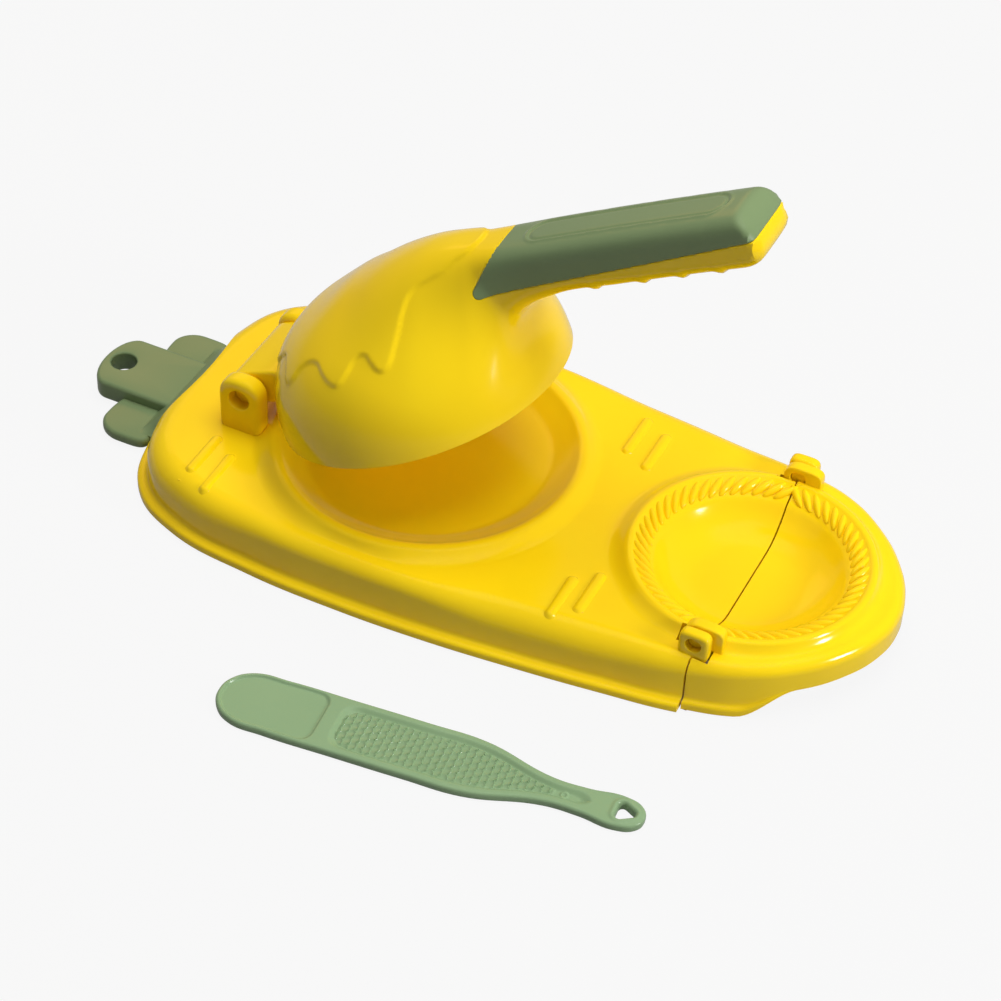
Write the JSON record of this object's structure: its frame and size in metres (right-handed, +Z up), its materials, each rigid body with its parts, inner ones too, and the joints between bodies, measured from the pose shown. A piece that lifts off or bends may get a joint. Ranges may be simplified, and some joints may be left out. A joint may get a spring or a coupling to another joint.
{
  "type": "dumpling maker",
  "caption": "Hand dumpling maker: a domed lever lid presses dough in a dish, a hinged half-round mould folds and crimps it; leaf-shaped hanger behind, filling spatula beside.",
  "frame": {"origin": "middle of the dish floor, 19 mm above the table that the feet rest on", "axes": "+X from the dish towards the folding mould's tip, +Y to the far side, +Z up"},
  "size_m": [0.3145, 0.2055, 0.1684],
  "materials": {
    "yellow_shell": "glossy moulded plastic, warm yellow",
    "green_grip": "satin moulded plastic, sage green",
    "pale_green": "satin moulded plastic, pale sage green",
    "foot_rubber": "soft non-slip pad"
  },
  "bodies": {
    "base": {"base_shell": "yellow_shell", "leaf_hanger": "green_grip", "lid_hinge_pin_near": "yellow_shell", "lid_hinge_pin_far": "yellow_shell", "flap_hinge_pin_near": "yellow_shell", "flap_hinge_pin_far": "yellow_shell", "foot_pad_rear_near": "foot_rubber", "foot_pad_rear_far": "foot_rubber", "foot_pad_front_near": "foot_rubber", "foot_pad_front_far": "foot_rubber"},
    "lid": {"press_lid": "yellow_shell", "grip_cover": "green_grip", "press_plate": "yellow_shell"},
    "flap": {"flap_mould_half": "yellow_shell"},
    "spatula": {"filling_spatula": "pale_green"}
  },
  "joints": [
    {"name": "lid_hinge", "type": "hinge", "parent": "base", "child": "lid", "pos_m": [-0.0636, 0, 0.0155], "axis": [0, -1, 0], "range_deg": [-23, 80]},
    {"name": "flap_hinge", "type": "hinge", "parent": "base", "child": "flap", "pos_m": [0.124, 0, 0.0058], "axis": [0, -1, 0], "range_deg": [0, 178]},
    {"name": "spatula_lift", "type": "slide", "parent": "base", "child": "spatula", "axis": [0, 0, 1], "range_m": [0, 0.12]}
  ]
}
